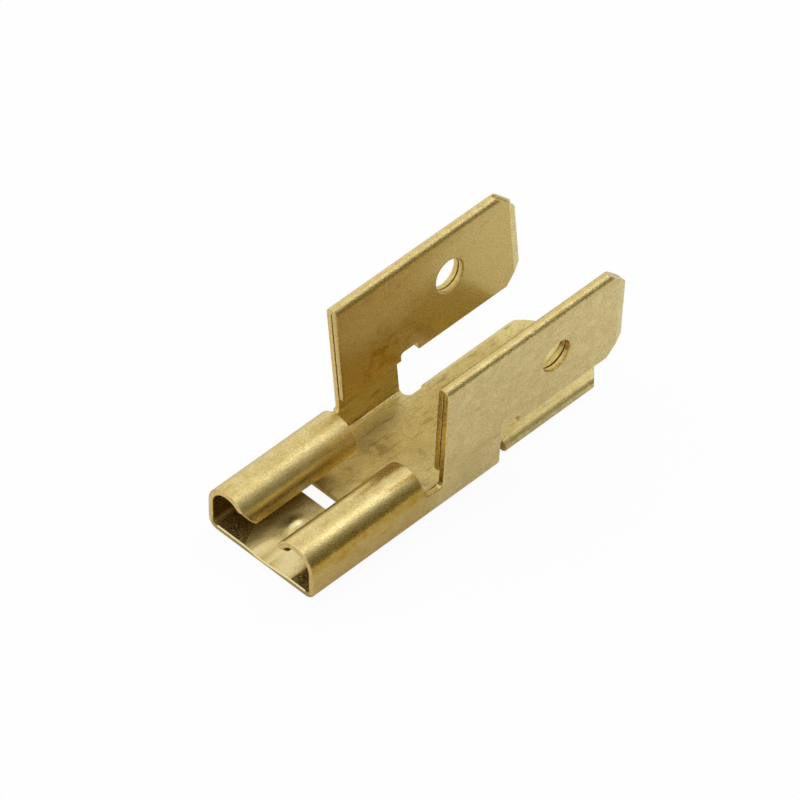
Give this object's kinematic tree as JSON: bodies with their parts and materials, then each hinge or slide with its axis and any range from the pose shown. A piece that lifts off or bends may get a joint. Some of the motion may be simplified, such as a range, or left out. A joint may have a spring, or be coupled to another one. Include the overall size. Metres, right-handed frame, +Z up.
{
  "type": "spade terminal splitter",
  "caption": "Folded brass blade terminal adapter: a female push-on receptacle branches into upright and flat male tabs to feed several wires.",
  "frame": {"origin": "on the base's centreline, half way along the part, at the level of the rear tab's underside", "axes": "+Y from the receptacle's mouth towards the tab tips, +Z up, +X to the right seen from the mouth"},
  "size_m": [0.0091, 0.0228, 0.0094],
  "materials": {
    "brass": "satin"
  },
  "bodies": {
    "root": {"splitter": "brass"}
  },
  "joints": []
}
